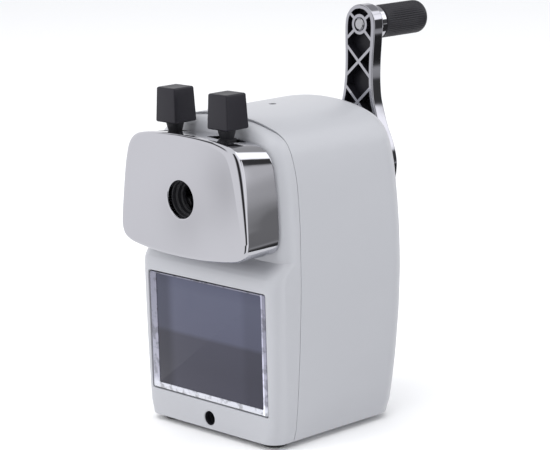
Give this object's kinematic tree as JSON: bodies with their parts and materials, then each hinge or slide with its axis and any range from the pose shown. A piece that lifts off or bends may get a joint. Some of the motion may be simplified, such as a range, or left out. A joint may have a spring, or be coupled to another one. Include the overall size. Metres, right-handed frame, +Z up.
{
  "type": "crank pencil sharpener",
  "caption": "Desktop crank pencil sharpener with a pull-out chrome face plate, finger-lever chuck, planetary helical cutter, rear crank and smoked shavings drawer.",
  "frame": {"origin": "on the floor, under the middle of the whole object's box", "axes": "+Z up, -Y the way the pencil hole faces, +X to the right seen from the rear of the pencil, that is to the viewer's right when facing the plate"},
  "size_m": [0.0646, 0.1112, 0.1324],
  "materials": {
    "body_grey": "satin light grey",
    "chrome": "mirror",
    "black_plastic": "satin",
    "inner_black": "matte",
    "rubber": "matte",
    "steel": "ground",
    "zinc": "die-cast",
    "brass": "turned",
    "smoked_plastic": "clear smoked"
  },
  "bodies": {
    "housing": {"housing_shell": "body_grey", "front_bezel": "body_grey", "base_plate": "inner_black", "foot_front_left": "rubber", "foot_front_right": "rubber", "foot_rear_left": "rubber", "foot_rear_right": "rubber", "base_screw_1": "zinc", "base_screw_2": "zinc", "base_screw_3": "zinc", "base_screw_4": "zinc", "drawer_runner_left": "inner_black", "drawer_runner_right": "inner_black", "clamp_socket": "inner_black", "chute_plate": "inner_black", "mechanism_frame": "zinc", "frame_screw_1": "zinc", "frame_screw_2": "zinc", "frame_screw_3": "zinc", "frame_screw_4": "zinc", "rod_bushing_left": "brass", "rod_bushing_right": "brass", "rear_bearing": "brass", "ring_gear": "steel", "ring_screw_1": "zinc", "ring_screw_2": "zinc", "ring_screw_3": "zinc", "feed_spring_left": "steel", "feed_spring_right": "steel"},
    "face_plate": {"face_plate": "chrome", "plate_backing": "inner_black", "guide_rod_left": "steel", "guide_rod_right": "steel", "rod_clip_left": "zinc", "rod_clip_right": "zinc", "chuck_body": "inner_black", "chuck_screw_left": "zinc", "chuck_screw_right": "zinc", "lever_spring": "steel"},
    "lever_left": {"lever_left": "inner_black", "lever_knob_left": "black_plastic"},
    "lever_right": {"lever_right": "inner_black", "lever_knob_right": "black_plastic"},
    "jaw_1": {"chuck_jaw_1": "steel"},
    "jaw_2": {"chuck_jaw_2": "steel"},
    "jaw_3": {"chuck_jaw_3": "steel"},
    "crank": {"crank_arm": "chrome", "crank_shaft": "steel", "cutter_carrier": "zinc", "cutter_axle": "steel", "crank_screw": "zinc", "crank_washer": "zinc", "grip_pin": "steel", "grip_collar": "chrome"},
    "cutter": {"helical_cutter": "steel", "cutter_pinion": "steel"},
    "grip": {"crank_grip": "black_plastic"},
    "drawer": {"shavings_drawer": "smoked_plastic"}
  },
  "joints": [
    {"name": "face_plate_slide", "type": "slide", "parent": "housing", "child": "face_plate", "axis": [0, -1, 0], "range_m": [0, 0.024], "stiffness_N_per_m": 80, "springref_m": -0.02, "deforming": ["feed_spring_left", "feed_spring_right"]},
    {"name": "lever_left_pinch", "type": "hinge", "parent": "face_plate", "child": "lever_left", "pos_m": [0, -0.04785, 0.079], "axis": [0, 1, 0], "range_deg": [0, 6], "stiffness_Nm_per_rad": 0.15, "springref_deg": -8.59, "deforming": ["lever_spring"]},
    {"name": "lever_right_pinch", "type": "hinge", "parent": "face_plate", "child": "lever_right", "pos_m": [0, -0.04625, 0.079], "axis": [0, 1, 0], "range_deg": [-6, 0]},
    {"name": "jaw_1_slide", "type": "slide", "parent": "face_plate", "child": "jaw_1", "axis": [0, 0, 1], "range_m": [0, 0.0015]},
    {"name": "jaw_2_slide", "type": "slide", "parent": "face_plate", "child": "jaw_2", "axis": [-0.866, 0, -0.5], "range_m": [0, 0.0015]},
    {"name": "jaw_3_slide", "type": "slide", "parent": "face_plate", "child": "jaw_3", "axis": [0.866, 0, -0.5], "range_m": [0, 0.0015]},
    {"name": "crank_turn", "type": "hinge", "parent": "housing", "child": "crank", "pos_m": [0, 0.01485, 0.079], "axis": [0, 1, 0], "continuous": true},
    {"name": "cutter_spin", "type": "hinge", "parent": "crank", "child": "cutter", "pos_m": [0, -0.02515, 0.06965], "axis": [0, 0.9806, 0.1961], "continuous": true},
    {"name": "grip_spin", "type": "hinge", "parent": "crank", "child": "grip", "pos_m": [0, 0.04685, 0.1257], "axis": [0, 1, 0], "continuous": true},
    {"name": "drawer_slide", "type": "slide", "parent": "housing", "child": "drawer", "axis": [0, -1, 0], "range_m": [0, 0.046]}
  ],
  "couplings": [
    {"joint": "lever_right_pinch", "follows": "lever_left_pinch", "ratio": -1},
    {"joint": "jaw_1_slide", "follows": "lever_left_pinch", "m_per_rad": 0.0134},
    {"joint": "jaw_2_slide", "follows": "lever_left_pinch", "m_per_rad": 0.0134},
    {"joint": "jaw_3_slide", "follows": "lever_left_pinch", "m_per_rad": 0.0134},
    {"joint": "cutter_spin", "follows": "crank_turn", "ratio": -3.2}
  ]
}
